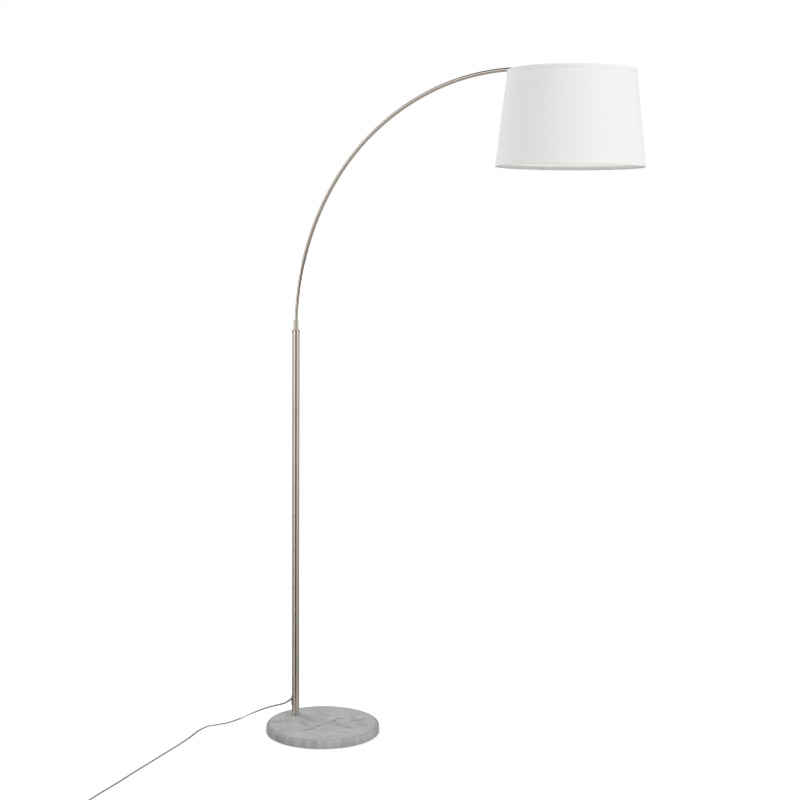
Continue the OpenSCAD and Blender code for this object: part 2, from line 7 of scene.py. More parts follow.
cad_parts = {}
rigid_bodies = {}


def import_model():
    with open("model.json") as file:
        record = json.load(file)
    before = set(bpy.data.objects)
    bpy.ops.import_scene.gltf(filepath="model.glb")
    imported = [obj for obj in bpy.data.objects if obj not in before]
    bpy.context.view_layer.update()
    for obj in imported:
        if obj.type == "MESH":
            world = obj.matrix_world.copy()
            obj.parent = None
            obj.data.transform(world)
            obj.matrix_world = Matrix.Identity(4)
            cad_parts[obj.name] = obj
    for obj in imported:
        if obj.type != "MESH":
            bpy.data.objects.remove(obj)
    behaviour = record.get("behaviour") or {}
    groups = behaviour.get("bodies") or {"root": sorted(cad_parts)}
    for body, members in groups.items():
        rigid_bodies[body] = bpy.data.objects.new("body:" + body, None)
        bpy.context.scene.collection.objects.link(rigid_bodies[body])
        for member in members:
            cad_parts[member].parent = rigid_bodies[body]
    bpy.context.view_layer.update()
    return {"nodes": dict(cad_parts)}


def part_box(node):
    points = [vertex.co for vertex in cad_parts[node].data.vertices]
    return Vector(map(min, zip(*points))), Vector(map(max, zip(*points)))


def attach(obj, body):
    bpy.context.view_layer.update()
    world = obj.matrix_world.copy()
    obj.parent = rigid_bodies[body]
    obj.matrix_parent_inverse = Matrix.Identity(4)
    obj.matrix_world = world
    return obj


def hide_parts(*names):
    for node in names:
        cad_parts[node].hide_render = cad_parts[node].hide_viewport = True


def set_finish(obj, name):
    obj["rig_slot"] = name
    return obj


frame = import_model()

NODES = frame["nodes"]
MM = 0.001
UP = Vector((0, 0, 1))
# The pole's axis stands at this X, in millimetres, and the arm starts on it.
POLE_X, POLE_RADIUS = -109, 11


# ---------------------------------------------------------------- camera

# Metres for the place, radians for the angles and millimetres for the lens.
CAMERA_PLACE = (2.9126, -3.3565, 1.4565)
CAMERA_HEADING = 0.665
CAMERA_PITCH = 0.1048
CAMERA_ROLL = 0.0082
CAMERA_LENS, CAMERA_SENSOR = 69.22, 36


def add_camera():
    """Stands in front and to the right, pitched down a little and with a trace of roll."""
    heading, pitch, roll = CAMERA_HEADING, CAMERA_PITCH, CAMERA_ROLL
    right = Vector((math.cos(heading), math.sin(heading), 0))
    ahead = Vector((-math.sin(heading) * math.cos(pitch),
                    math.cos(heading) * math.cos(pitch), -math.sin(pitch)))
    up = right.cross(ahead)
    side = right * math.cos(roll) + up * math.sin(roll)
    top = up * math.cos(roll) - right * math.sin(roll)
    data = bpy.data.cameras.new("camera")
    data.lens, data.sensor_width = CAMERA_LENS, CAMERA_SENSOR
    data.clip_start, data.clip_end = 0.05, 100
    camera = bpy.data.objects.new("camera", data)
    x, y, z = CAMERA_PLACE
    camera.matrix_world = Matrix((
        (side.x, top.x, -ahead.x, x), (side.y, top.y, -ahead.y, y),
        (side.z, top.z, -ahead.z, z), (0, 0, 0, 1)))
    bpy.context.scene.collection.objects.link(camera)
    bpy.context.scene.camera = camera


# ---------------------------------------------------------------- mesh helpers

def new_mesh(name, points, faces, smooth=True):
    """A mesh object in the scene, with its points given in metres."""
    mesh = bpy.data.meshes.new(name)
    mesh.from_pydata([tuple(p) for p in points], [], faces)
    mesh.validate()
    if smooth:
        mesh.polygons.foreach_set("use_smooth", [True] * len(mesh.polygons))
    mesh.update()
    piece = bpy.data.objects.new(name, mesh)
    bpy.context.scene.collection.objects.link(piece)
    return piece


def grid_faces(rows, columns, wrap_rows=False):
    """Four-sided faces between rings of points, closed round each ring."""
    faces = []
    for i in range(rows if wrap_rows else rows - 1):
        this, following = i * columns, (i + 1) % rows * columns
        for j in range(columns):
            k = (j + 1) % columns
            faces.append((this + j, this + k, following + k, following + j))
    return faces


def turned(name, outline, centre, steps):
    """Turns a closed outline of (radius, height) pairs round a vertical axis."""
    points = []
    for radius, height in outline:
        for j in range(steps):
            angle = 2 * math.pi * j / steps
            points.append((centre[0] + radius * math.cos(angle),
                           centre[1] + radius * math.sin(angle), centre[2] + height))
    faces = grid_faces(len(outline), steps, wrap_rows=True)
    return new_mesh(name, points, faces)


def swept(name, path, sections, ups):
    """A closed tube through path. sections holds a ring of (across, up) pairs for each point."""
    points, count = [], len(sections[0])
    for i, p in enumerate(path):
        along = (path[min(i + 1, len(path) - 1)] - path[max(i - 1, 0)]).normalized()
        across = along.cross(ups[i]).normalized()
        up = across.cross(along)
        points += [p + across * a + up * b for a, b in sections[i]]
    faces = grid_faces(len(path), count)
    faces.append(tuple(range(count - 1, -1, -1)))
    last = (len(path) - 1) * count
    faces.append(tuple(range(last, last + count)))
    return new_mesh(name, points, faces)


def smooth_step(share):
    """Eases a share between 0 and 1, level at both ends."""
    return 3 * share ** 2 - 2 * share ** 3


def smooth_route(route):
    """Points on a smooth curve through every point of a route."""
    points = [Vector(p) for p in route]
    out = []
    for i in range(len(points) - 1):
        a, b = points[max(i - 1, 0)], points[i]
        c, d = points[i + 1], points[min(i + 2, len(points) - 1)]
        for j in range(ROUTE_STEPS):
            t = j / ROUTE_STEPS
            out.append(0.5 * (2 * b + (c - a) * t + (2 * a - 5 * b + 4 * c - d) * t ** 2
                              + (3 * b - a - 3 * c + d) * t ** 3))
    return out + [points[-1]]


# ---------------------------------------------------------------- mains cord

# The cord, its coil, the plug, the tie and the plate on the pole are set out in millimetres.
CORD_THICKNESS = 2.9
CORD_CORES_APART = 2.5
# How far the flat cord is rolled where it leaves the pole: nearly on its edge.
CORD_ROLL = math.radians(78)
# Points made on the smooth curve between one point of a route and the next.
ROUTE_STEPS = 6
CORD_ROUTE = [
    (-140, 0, 63), (-155, 0, 54), (-180, -1, 44), (-208, -5, 34), (-235, -14, 22),
    (-256, -33, 11), (-264, -58, 5), (-266, -80, 3), (-267, -104, 1.6), (-270, -135, 1.6),
    (-281, -165, 1.6), (-290, -193, 1.6), (-282, -236, 1.6), (-260, -290, 1.6),
    (-241, -342, 1.6), (-225, -392, 1.6), (-210, -442, 1.6), (-194, -492, 1.6),
    (-178, -545, 1.6), (-161, -600, 1.6), (-143, -655, 1.6), (-126, -710, 1.6),
    (-110, -765, 1.6), (-95, -812, 1.6), (-82, -846, 2), (-77, -875, 2)]
# The point of the route where the cord lies flat on the floor.
CORD_LANDS = 8
COIL_CENTRE = (-40, -875)
COIL_OUTER, COIL_INNER = 37, 23.5
COIL_LOW, COIL_HIGH = 2.05, 5.0
TAIL_ROUTE = [(-40, -912, 5), (-25, -911, 5), (-10, -909, 6), (4, -908, 7)]


def coil_points():
    """Two layers of turns: inwards on the floor, up a step, and outwards on top of them."""
    out = []
    turns, hop = 2.5 * 360, 90
    step = 7.5
    angle = step
    while angle < turns + hop + turns:
        if angle < turns:
            share = angle / turns
            radius, height = COIL_OUTER + (COIL_INNER - COIL_OUTER) * share, COIL_LOW
        elif angle < turns + hop:
            share = (angle - turns) / hop
            radius = COIL_INNER
            height = COIL_LOW + (COIL_HIGH - COIL_LOW) * smooth_step(share)
        else:
            share = (angle - turns - hop) / turns
            radius, height = COIL_INNER + (COIL_OUTER - COIL_INNER) * share, COIL_HIGH
        turn = math.radians(180 + angle)
        out.append(Vector((COIL_CENTRE[0] + radius * math.cos(turn),
                           COIL_CENTRE[1] + radius * math.sin(turn), height)))
        angle += step
    return out


def cord_section(grow=1.0):
    """Two round cores side by side with a web between them, as (across, up) pairs."""
    core = CORD_THICKNESS / 2
    web_turn, sides = 130, 12
    right = []
    for k in range(sides + 1):
        turn = math.radians(-web_turn + 2 * web_turn * k / sides)
        right.append((CORD_CORES_APART / 2 + core * math.cos(turn), core * math.sin(turn)))
    left = [(-a, -b) for a, b in right]
    return [(a * grow * MM, b * grow * MM) for a, b in right + left]


def rolled_up(along, roll):
    """The direction of a flat cord's upper side where it runs along and is rolled aside."""
    across = along.normalized().cross(UP).normalized()
    return UP * math.cos(roll) + across * math.sin(roll)


def cord_ups(path, landing):
    """Flat side up on the floor; on edge where it leaves the pole, turning over as it lands."""
    roll_until = 0.35
    ups = []
    for i in range(len(path)):
        share = min(1.0, max(0.0, (i / landing - roll_until) / (1 - roll_until)))
        along = path[min(i + 1, len(path) - 1)] - path[max(i - 1, 0)]
        ups.append(rolled_up(along, CORD_ROLL * (1 - smooth_step(share))))
    return ups


def add_cord():
    """The whole free cord, from the strain relief to the plug, and the points it follows."""
    route = smooth_route(CORD_ROUTE) + coil_points() + smooth_route(TAIL_ROUTE)
    path = [p * MM for p in route]
    ups = cord_ups(path, CORD_LANDS * ROUTE_STEPS)
    cord = swept("mains_cord", path, [cord_section()] * len(path), ups)
    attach(cord, "stand")
    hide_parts("cord_tube", "cord_coil", "cord_tail")
    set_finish(cord, "cord")
    return cord, path


def superellipse(half_width, half_height, power):
    """A ring of (across, up) pairs: an oval for power 2, and nearer a box above that."""
    steps = 32
    out = []
    for k in range(steps):
        turn = 2 * math.pi * k / steps
        c, s = math.cos(turn), math.sin(turn)
        out.append((half_width * math.copysign(abs(c) ** (2 / power), c) * MM,
                    half_height * math.copysign(abs(s) ** (2 / power), s) * MM))
    return out


def add_plug():
    """A moulded two-blade plug: ribbed neck, shoulders, finger grips and a flat face."""
    # Each station is (along, half width, half height, power of the superellipse).
    stations = [(0.0, 3.2, 3.1, 2.0), (0.6, 3.6, 3.3, 2.0)]
    for rib in range(5):
        x = 1.6 + rib * 3.4
        grow = 0.32 * rib
        stations += [(x, 3.8 + grow, 3.5 + grow, 2.1), (x + 1.6, 3.8 + grow, 3.5 + grow, 2.1),
                     (x + 1.9, 3.2 + grow, 2.9 + grow, 2.1), (x + 3.0, 3.2 + grow, 2.9 + grow, 2.1)]
    stations += [(18.8, 5.2, 4.9, 2.2), (20.5, 6.4, 5.4, 2.4), (22.5, 8.4, 5.9, 2.8),
                 (25.0, 10.2, 6.3, 3.2), (28.0, 11.3, 6.5, 3.6)]
    for groove in range(3):
        x = 29.2 + groove * 3.4
        stations += [(x, 11.5, 6.5, 3.8), (x + 0.5, 11.0, 6.3, 3.8),
                     (x + 1.5, 11.0, 6.3, 3.8), (x + 2.0, 11.6, 6.55, 3.8)]
    stations += [(41.0, 11.9, 6.7, 4.0), (46.6, 11.9, 6.7, 4.0), (47.6, 11.6, 6.4, 3.8),
                 (48.0, 10.9, 5.8, 3.6)]
    back = Vector(TAIL_ROUTE[-1])
    path = [(back + Vector((x, 0, 0))) * MM for x, *_ in stations]
    rings = [superellipse(w, h, p) for _, w, h, p in stations]
    plug = swept("plug_moulding", path, rings, [UP] * len(path))
    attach(plug, "stand")
    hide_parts("plug_body")
    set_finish(plug, "plug")
    return plug


def add_tie():
    """A flat twist tie round the coil, with its two ends twisted together on top."""
    turn = math.radians(30)
    out_dir = Vector((math.cos(turn), math.sin(turn), 0))
    side = Vector((-math.sin(turn), math.cos(turn), 0))
    centre = Vector((COIL_CENTRE[0], COIL_CENTRE[1], 0))
    inner, outer, low, high = 20.3, 40.2, 0.35, 7.1
    corner = 1.4
    loop = []
    for cx, cz, start in ((outer - corner, high - corner, 0), (inner + corner, high - corner, 90),
                          (inner + corner, low + corner, 180), (outer - corner, low + corner, 270)):
        for k in range(7):
            a = math.radians(start + 15 * k)
            loop.append((cx + corner * math.cos(a), cz + corner * math.sin(a)))
    points = []
    # The strip's section as (across, up) pairs: flat, with a wire's ridge near each side.
    strip = [(-2, 0.0), (-1.2, 0.28), (-0.7, 0.05), (0.7, 0.05), (1.2, 0.28), (2, 0.0),
             (2, -0.25), (-2, -0.25)]
    for i, (r, z) in enumerate(loop):
        before, after = loop[i - 1], loop[(i + 1) % len(loop)]
        normal = Vector((after[1] - before[1], before[0] - after[0])).normalized()
        for across, height in strip:
            points.append((centre + out_dir * (r + normal[0] * height) + side * across
                           + UP * (z + normal[1] * height)) * MM)
    tie = new_mesh("twist_tie", points, grid_faces(len(loop), len(strip), wrap_rows=True))
    section = [(a * 0.9 * MM, b * MM) for a, b in
               ((-1, 0), (-0.4, 0.35), (0.4, 0.35), (1, 0), (0.4, -0.35), (-0.4, -0.35))]
    # Each end starts 33 mm from the coil's middle and runs 9 mm inwards, round the other one.
    twists, steps = 1.5, 24
    for letter, first_spin in (("a", math.pi), ("b", 0)):
        path, ups = [], []
        for k in range(steps + 1):
            t = k / steps
            spin = t * 2 * math.pi * twists + first_spin
            reach = 33 - 9 * t
            swing = 0.9 * (1 - 0.4 * t)
            height = 8.3 + 0.9 * t + swing * 0.8 * math.sin(spin)
            path.append((centre + out_dir * reach + side * swing * math.cos(spin)
                         + UP * height) * MM)
            ups.append(side * math.sin(spin) + UP * math.cos(spin))
        end = swept(f"tie_end_{letter}", path, [section] * len(path), ups)
        end.parent = tie
        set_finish(end, "tie")
    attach(tie, "stand")
    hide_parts("cord_tie")
    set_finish(tie, "tie")
    return tie


def add_grommet():
    """A domed oval plate wrapped on the back of the pole, with a slim ribbed strain relief."""
    axis = Vector((POLE_X, 0, 71))
    seat, crown = POLE_RADIUS + 0.02, 3.13
    straight, half_round = 12, 5
    steps, rings = 48, []
    for grow, rise in ((1.0, 0.0), (1.0, 1.4), (0.97, 2.1), (0.9, 2.6), (0.72, 2.95), (0.4, 3.1)):
        ring = []
        for k in range(steps):
            turn = 2 * math.pi * k / steps
            c, s = math.cos(turn), math.sin(turn)
            height = grow * (straight * math.copysign(min(1, abs(1.6 * s)), s)
                             + half_round * s)
            angle = math.pi + grow * half_round * c / POLE_RADIUS
            radius = seat + rise
            ring.append((axis + Vector((radius * math.cos(angle), radius * math.sin(angle),
                                        height))) * MM)
        rings.append(ring)
    points = [p for ring in rings for p in ring]
    points.append((axis - Vector((seat + crown, 0, 0))) * MM)
    faces = grid_faces(len(rings), steps)
    last = (len(rings) - 1) * steps
    faces += [(last + k, last + (k + 1) % steps, len(points) - 1) for k in range(steps)]
    faces.append(tuple(range(steps - 1, -1, -1)))
    plate = new_mesh("cord_plate", points, faces)
    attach(plate, "stand")
    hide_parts("cord_grommet")
    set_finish(plate, "grommet")

    start, end = Vector((-120, 0, 77)), Vector(CORD_ROUTE[0])
    # Each station is (share of the way to the exit, size against the cord's section).
    stations = [(0.0, 1.5), (0.12, 1.45)]
    for rib in range(4):
        at = 0.2 + 0.17 * rib
        stations += [(at, 1.42 - 0.07 * rib), (at + 0.09, 1.4 - 0.07 * rib),
                     (at + 0.1, 1.2 - 0.04 * rib), (at + 0.16, 1.2 - 0.04 * rib)]
    stations += [(0.9, 1.1), (1.0, 1.06)]
    path = [start.lerp(end, at) * MM for at, _ in stations]
    ups = [rolled_up(end - start, CORD_ROLL)] * len(path)
    relief = swept("strain_relief", path, [cord_section(grow) for _, grow in stations], ups)
    relief.parent = plate
    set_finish(relief, "plug")
    return plate


add_camera()
cord, cord_path = add_cord()
grommet = add_grommet()
plug = add_plug()
tie = add_tie()


# ---------------------------------------------------------------- node helpers

class Tree:
    """Short names for building the nodes of a material or a world."""

    def __init__(self, owner):
        owner.use_nodes = True
        self.owner = owner
        self.tree = owner.node_tree

    def add(self, kind, values=None, **settings):
        """A new node with values for its inputs, which are numbers, colours or sockets."""
        node = self.tree.nodes.new(kind)
        for key, value in settings.items():
            setattr(node, key, value)
        for key, value in (values or {}).items():
            self.put(node.inputs[key], value)
        return node

    def put(self, socket, value):
        if isinstance(value, bpy.types.NodeSocket):
            self.tree.links.new(value, socket)
        else:
            socket.default_value = value

    def set(self, **values):
        """Sets inputs of the material's surface shader."""
        shader = self.tree.nodes["Principled BSDF"]
        for key, value in values.items():
            self.put(shader.inputs[key.replace("_", " ")], value)

    def math(self, operation, a, b=0.0, clamp=False):
        return self.add("ShaderNodeMath", {0: a, 1: b}, operation=operation,
                        use_clamp=clamp).outputs[0]

    def length(self, x, y):
        """The length of the vector (x, y)."""
        return self.math("SQRT", self.math("ADD", self.math("MULTIPLY", x, x),
                                           self.math("MULTIPLY", y, y)))

    def weighted(self, a, share_a, b, share_b):
        """Two values added, each times its share."""
        return self.math("ADD", self.math("MULTIPLY", a, share_a),
                         self.math("MULTIPLY", b, share_b))

    def spot(self):
        return self.add("ShaderNodeTexCoord").outputs["Object"]

    def split(self, vector):
        node = self.add("ShaderNodeSeparateXYZ", {0: vector})
        return node.outputs[0], node.outputs[1], node.outputs[2]

    def join(self, x, y, z):
        return self.add("ShaderNodeCombineXYZ", {0: x, 1: y, 2: z}).outputs[0]

    def noise(self, vector, scale, detail=3.0, rough=0.5, distortion=0.0):
        return self.add("ShaderNodeTexNoise", {
            "Vector": vector, "Scale": scale, "Detail": detail, "Roughness": rough,
            "Distortion": distortion}).outputs["Fac"]

    def range(self, value, low, high, to_low, to_high):
        return self.add("ShaderNodeMapRange", {
            0: value, 1: low, 2: high, 3: to_low, 4: to_high}).outputs[0]

    def mix(self, factor, a, b):
        node = self.add("ShaderNodeMix", data_type="RGBA")
        self.put(node.inputs[0], factor)
        self.put(node.inputs[6], a)
        self.put(node.inputs[7], b)
        return node.outputs[2]

    def ramp(self, factor, *stops):
        node = self.add("ShaderNodeValToRGB", {0: factor})
        ramp = node.color_ramp
        while len(ramp.elements) < len(stops):
            ramp.elements.new(0.5)
        for element, (place, colour) in zip(ramp.elements, stops):
            element.position, element.color = place, colour
        return node.outputs[0]

    def bump(self, height, distance, strength):
        return self.add("ShaderNodeBump", {
            "Height": height, "Distance": distance, "Strength": strength}).outputs[0]

    def round_axis(self, x0, y0):
        """(angle in radians, height) about a vertical axis."""
        x, y, z = self.split(self.spot())
        x, y = self.math("SUBTRACT", x, x0), self.math("SUBTRACT", y, y0)
        return self.math("ARCTAN2", y, x), z


def new_material(name):
    return Tree(bpy.data.materials.new(name))


def rgba(r, g, b):
    return (r, g, b, 1)


def grey(value):
    return (value, value, value, 1)


# ---------------------------------------------------------------- materials

def nickel(name, bend=None):
    """Satin nickel polished round the tube. bend is (x, z, radius) of a bend in the plane Y = 0."""
    rough = 0.2
    t = new_material(name)
    x, y, z = t.split(t.spot())
    along = z
    if bend:
        dx, dz = t.math("SUBTRACT", x, bend[0]), t.math("SUBTRACT", z, bend[1])
        along = t.math("MULTIPLY", t.math("ARCTAN2", dz, dx), bend[2])
    lines = t.noise(t.join(t.math("MULTIPLY", x, 60), t.math("MULTIPLY", y, 60),
                           t.math("MULTIPLY", along, 2600)), 1.0, 2.0, 0.6)
    cloud = t.noise(t.spot(), 9.0, 4.0, 0.6)
    smudge = t.noise(t.spot(), 55.0, 3.0, 0.55)
    tone = t.weighted(lines, 0.35, cloud, 0.65)
    t.set(Base_Color=t.ramp(tone, (0.3, rgba(0.50, 0.45, 0.395)), (0.7, rgba(0.56, 0.51, 0.455))),
          Metallic=1.0, Anisotropic=0.8,
          Roughness=t.math("ADD", t.range(lines, 0.3, 0.7, rough - 0.03, rough + 0.03),
                           t.range(smudge, 0.35, 0.7, -0.02, 0.03)),
          Normal=t.bump(lines, 0.00001, 0.25))
    if bend:
        lengthwise = t.join(t.math("MULTIPLY", dz, -1.0), 0.0, dx)
        t.set(Tangent=t.add("ShaderNodeVectorTransform", {0: lengthwise}, vector_type="VECTOR",
                            convert_from="OBJECT", convert_to="WORLD").outputs[0])
    else:
        t.set(Anisotropic_Rotation=0.25,
              Tangent=t.add("ShaderNodeTangent", direction_type="RADIAL", axis="Z").outputs[0])
    return t.owner


def zinc(name):
    """Zinc-plated steel with a faint spangle."""
    t = new_material(name)
    spangle = t.noise(t.spot(), 320.0, 3.0, 0.6)
    cloud = t.noise(t.spot(), 45.0, 3.0, 0.6)
    t.set(Base_Color=t.ramp(cloud, (0.3, rgba(0.42, 0.43, 0.44)), (0.7, rgba(0.6, 0.6, 0.58))),
          Metallic=1.0, Roughness=t.range(spangle, 0.3, 0.7, 0.28, 0.5),
          Normal=t.bump(spangle, 0.00003, 0.5))
    return t.owner


def brass(name):
    """Brass with patches of tarnish."""
    t = new_material(name)
    tarnish = t.noise(t.spot(), 180.0, 4.0, 0.6)
    t.set(Base_Color=t.ramp(tarnish, (0.3, rgba(0.5, 0.34, 0.12)), (0.7, rgba(0.72, 0.54, 0.24))),
          Metallic=1.0, Roughness=t.range(tarnish, 0.3, 0.7, 0.4, 0.22),
          Normal=t.bump(t.noise(t.spot(), 900.0, 2.0), 0.00002, 0.4))
    return t.owner


def moulded(name, dark, light, rough, grain=700.0, deep=0.00003, **more):
    """Moulded plastic or rubber with a fine skin and slight cloudiness."""
    t = new_material(name)
    cloud = t.noise(t.spot(), 60.0, 3.0, 0.6)
    skin = t.noise(t.spot(), grain, 3.0, 0.6)
    t.set(Base_Color=t.ramp(cloud, (0.3, rgba(*dark)), (0.7, rgba(*light))),
          Roughness=t.range(skin, 0.3, 0.7, rough - 0.06, rough + 0.08),
          Normal=t.bump(skin, deep, 0.6), **more)
    return t.owner


# Veins across the top of the stone, in millimetres from the middle of the disc.
VEINS = [
    (1.0, [(-122, -116), (-123, -93), (-109, -69), (-86, -50), (-58, -46), (-33, -43), (8, -45),
           (15, -22), (18, 11), (17, 35), (16, 59), (36, 63), (51, 64), (62, 79), (70, 97),
           (84, 128)]),
    (0.8, [(5, -165), (0, -124), (1, -94), (13, -77), (26, -61), (52, -46), (68, -20)]),
    (0.8, [(12, 18), (48, 12), (71, 13), (97, 10), (106, 35), (115, 61), (134, 95)]),
    (0.6, [(-160, 12), (-95, 5), (-53, 2), (-20, -8)]),
    (0.7, [(25, 104), (57, 80), (86, 68), (120, 60)]),
    (0.5, [(-140, 60), (-100, 72), (-52, 60), (-10, 84)]),
    (0.5, [(70, -140), (96, -96), (90, -52), (126, -20)]),
]


VEIN_HALF_WIDTH = 0.009
# How far a vein may stray from the straight line between its ends, in metres.
VEIN_REACH = 0.1


def vein(t, x, y, points, ragged, width):
    """How strongly a vein through points darkens a place, from 0 to 1, with ragged edges."""
    (ax, ay), (bx, by) = points[0], points[-1]
    length = math.hypot(bx - ax, by - ay)
    cx, cy = (bx - ax) / length, (by - ay) / length
    spots = [((px - ax) * cx + (py - ay) * cy, (py - ay) * cx - (px - ax) * cy)
             for px, py in points]
    dx = t.math("SUBTRACT", x, ax * MM)
    dy = t.math("SUBTRACT", y, ay * MM)
    down = t.math("ADD", t.math("MULTIPLY", dx, cx), t.math("MULTIPLY", dy, cy))
    aside = t.math("SUBTRACT", t.math("MULTIPLY", dy, cx), t.math("MULTIPLY", dx, cy))
    share = t.math("DIVIDE", down, length * MM)
    node = t.add("ShaderNodeFloatCurve", {"Value": share})
    curve = node.mapping.curves[0]
    while len(curve.points) < len(spots):
        curve.points.new(0.5, 0.5)
    for point, (s, d) in zip(curve.points, sorted(spots)):
        point.location = (s / length, 0.5 + d * MM / (2 * VEIN_REACH))
    node.mapping.update()
    line = t.math("MULTIPLY", t.math("SUBTRACT", node.outputs[0], 0.5), 2 * VEIN_REACH)
    away = t.math("ABSOLUTE", t.math("ADD", t.math("SUBTRACT", aside, line), ragged))
    wide = t.math("MULTIPLY", width, VEIN_HALF_WIDTH)
    soft = t.add("ShaderNodeMapRange", {0: away, 1: 0.0, 2: wide, 3: 1.0, 4: 0.0},
                 interpolation_type="SMOOTHERSTEP").outputs[0]
    ends = t.math("MULTIPLY", t.range(share, -0.02, 0.08, 0.0, 1.0),
                  t.range(share, 0.92, 1.02, 1.0, 0.0))
    return t.math("MULTIPLY", soft, ends)


# Where the stone's top ends and its rounded edge turns into its side, as radii in metres. The
# painted shade on the edge and side grows between them.
STONE_TOP, STONE_SIDE = 0.1535, 0.1625
# A dark mark on the stone's side.
STONE_MARK = (-0.034, -0.164, 0.016)


def marble(name):
    """Pale grey stone with a cloudy ground and ragged dark veins; painted shade darkens its rounded
    edge and side, and brown painted shade its bottom edge.
    """
    t = new_material(name)
    spot = t.spot()
    x, y, z = t.split(spot)
    warp = t.add("ShaderNodeTexNoise", {"Vector": spot, "Scale": 24.0, "Detail": 5.0,
                                        "Roughness": 0.62}).outputs["Color"]
    push = t.add("ShaderNodeVectorMath", {0: warp, 1: (0.5, 0.5, 0.5)},
                 operation="SUBTRACT").outputs[0]
    bent = t.add("ShaderNodeVectorMath", {0: push, 1: (0.04, 0.04, 0.04), 2: spot},
                 operation="MULTIPLY_ADD").outputs[0]
    ground = t.noise(bent, 16.0, 7.0, 0.66)
    colour = t.ramp(ground, (0.34, rgba(0.43, 0.435, 0.44)), (0.47, rgba(0.495, 0.495, 0.49)),
                    (0.56, rgba(0.525, 0.525, 0.52)), (0.7, rgba(0.59, 0.59, 0.58)))
    light = t.range(t.noise(spot, 9.0, 2.0, 0.4), 0.45, 0.62, 0.0, 0.45)
    colour = t.mix(light, colour, rgba(0.54, 0.545, 0.545))
    dx, dy, _ = t.split(push)
    bx = t.math("ADD", x, t.math("MULTIPLY", dx, 0.03))
    by = t.math("ADD", y, t.math("MULTIPLY", dy, 0.03))
    ragged = t.math("MULTIPLY", t.math("SUBTRACT", t.noise(spot, 90.0, 4.0, 0.65), 0.5), 0.022)
    width = t.range(t.noise(spot, 44.0, 3.0), 0.38, 0.62, 0.3, 2.1)
    dark = None
    for strength, points in VEINS:
        one = t.math("MULTIPLY", vein(t, bx, by, points, ragged, width), strength)
        dark = one if dark is None else t.math("MAXIMUM", dark, one)
    patch = t.range(t.noise(spot, 38.0, 4.0, 0.6), 0.4, 0.6, 0.15, 1.0)
    colour = t.mix(t.math("MULTIPLY", t.math("MULTIPLY", dark, patch), 0.85, clamp=True), colour,
                   rgba(0.235, 0.245, 0.255))
    fine = t.math("ABSOLUTE", t.math("SUBTRACT", t.noise(bent, 30.0, 4.0, 0.55), 0.5))
    hair = t.math("MULTIPLY", t.range(fine, 0.0, 0.012, 1.0, 0.0),
                  t.range(t.noise(spot, 11.0, 3.0), 0.5, 0.64, 0.0, 0.3))
    colour = t.mix(hair, colour, rgba(0.27, 0.275, 0.28))
    white = t.math("ABSOLUTE", t.math("SUBTRACT", t.noise(bent, 19.0, 3.0, 0.5), 0.56))
    colour = t.mix(t.range(white, 0.0, 0.02, 0.3, 0.0), colour, rgba(0.66, 0.66, 0.65))
    # Painted shade: the rounded edge and the side are darker than the top, broken up by vertical
    # streaks.
    streaks = t.noise(t.join(x, y, t.math("MULTIPLY", z, 0.2)), 36.0, 3.0, 0.55)
    side = t.math("MULTIPLY", t.range(t.length(x, y), STONE_TOP, STONE_SIDE, 0.0, 1.0),
                  t.range(streaks, 0.35, 0.62, 0.4, 0.95))
    colour = t.mix(side, colour, rgba(0.325, 0.315, 0.3))
    # Brown painted shade along the bottom few millimetres of the side, over the gap to the pad.
    bottom_shade = t.math("MULTIPLY", t.range(z, 0.002, 0.008, 0.8, 0.0), t.noise(spot, 70.0, 3.0))
    colour = t.mix(bottom_shade, colour, rgba(0.22, 0.19, 0.155))
    mark = t.add("ShaderNodeVectorMath", {0: spot, 1: STONE_MARK},
                 operation="DISTANCE").outputs["Value"]
    colour = t.mix(t.range(mark, 0.002, 0.011, 0.8, 0.0), colour, rgba(0.2, 0.2, 0.2))
    crystal = t.add("ShaderNodeTexVoronoi", {"Vector": spot, "Scale": 900.0}).outputs["Color"]
    sparkle = t.split(crystal)[0]
    colour = t.mix(t.math("MULTIPLY", sparkle, 0.05), colour, grey(0.95))
    t.set(Base_Color=colour, Roughness=t.range(sparkle, 0.0, 1.0, 0.36, 0.48),
          Coat_Weight=0.05, Coat_Roughness=0.12, Specular_IOR_Level=0.45,
          Normal=t.bump(t.noise(spot, 350.0, 3.0), 0.00004, 0.4))
    return t.owner


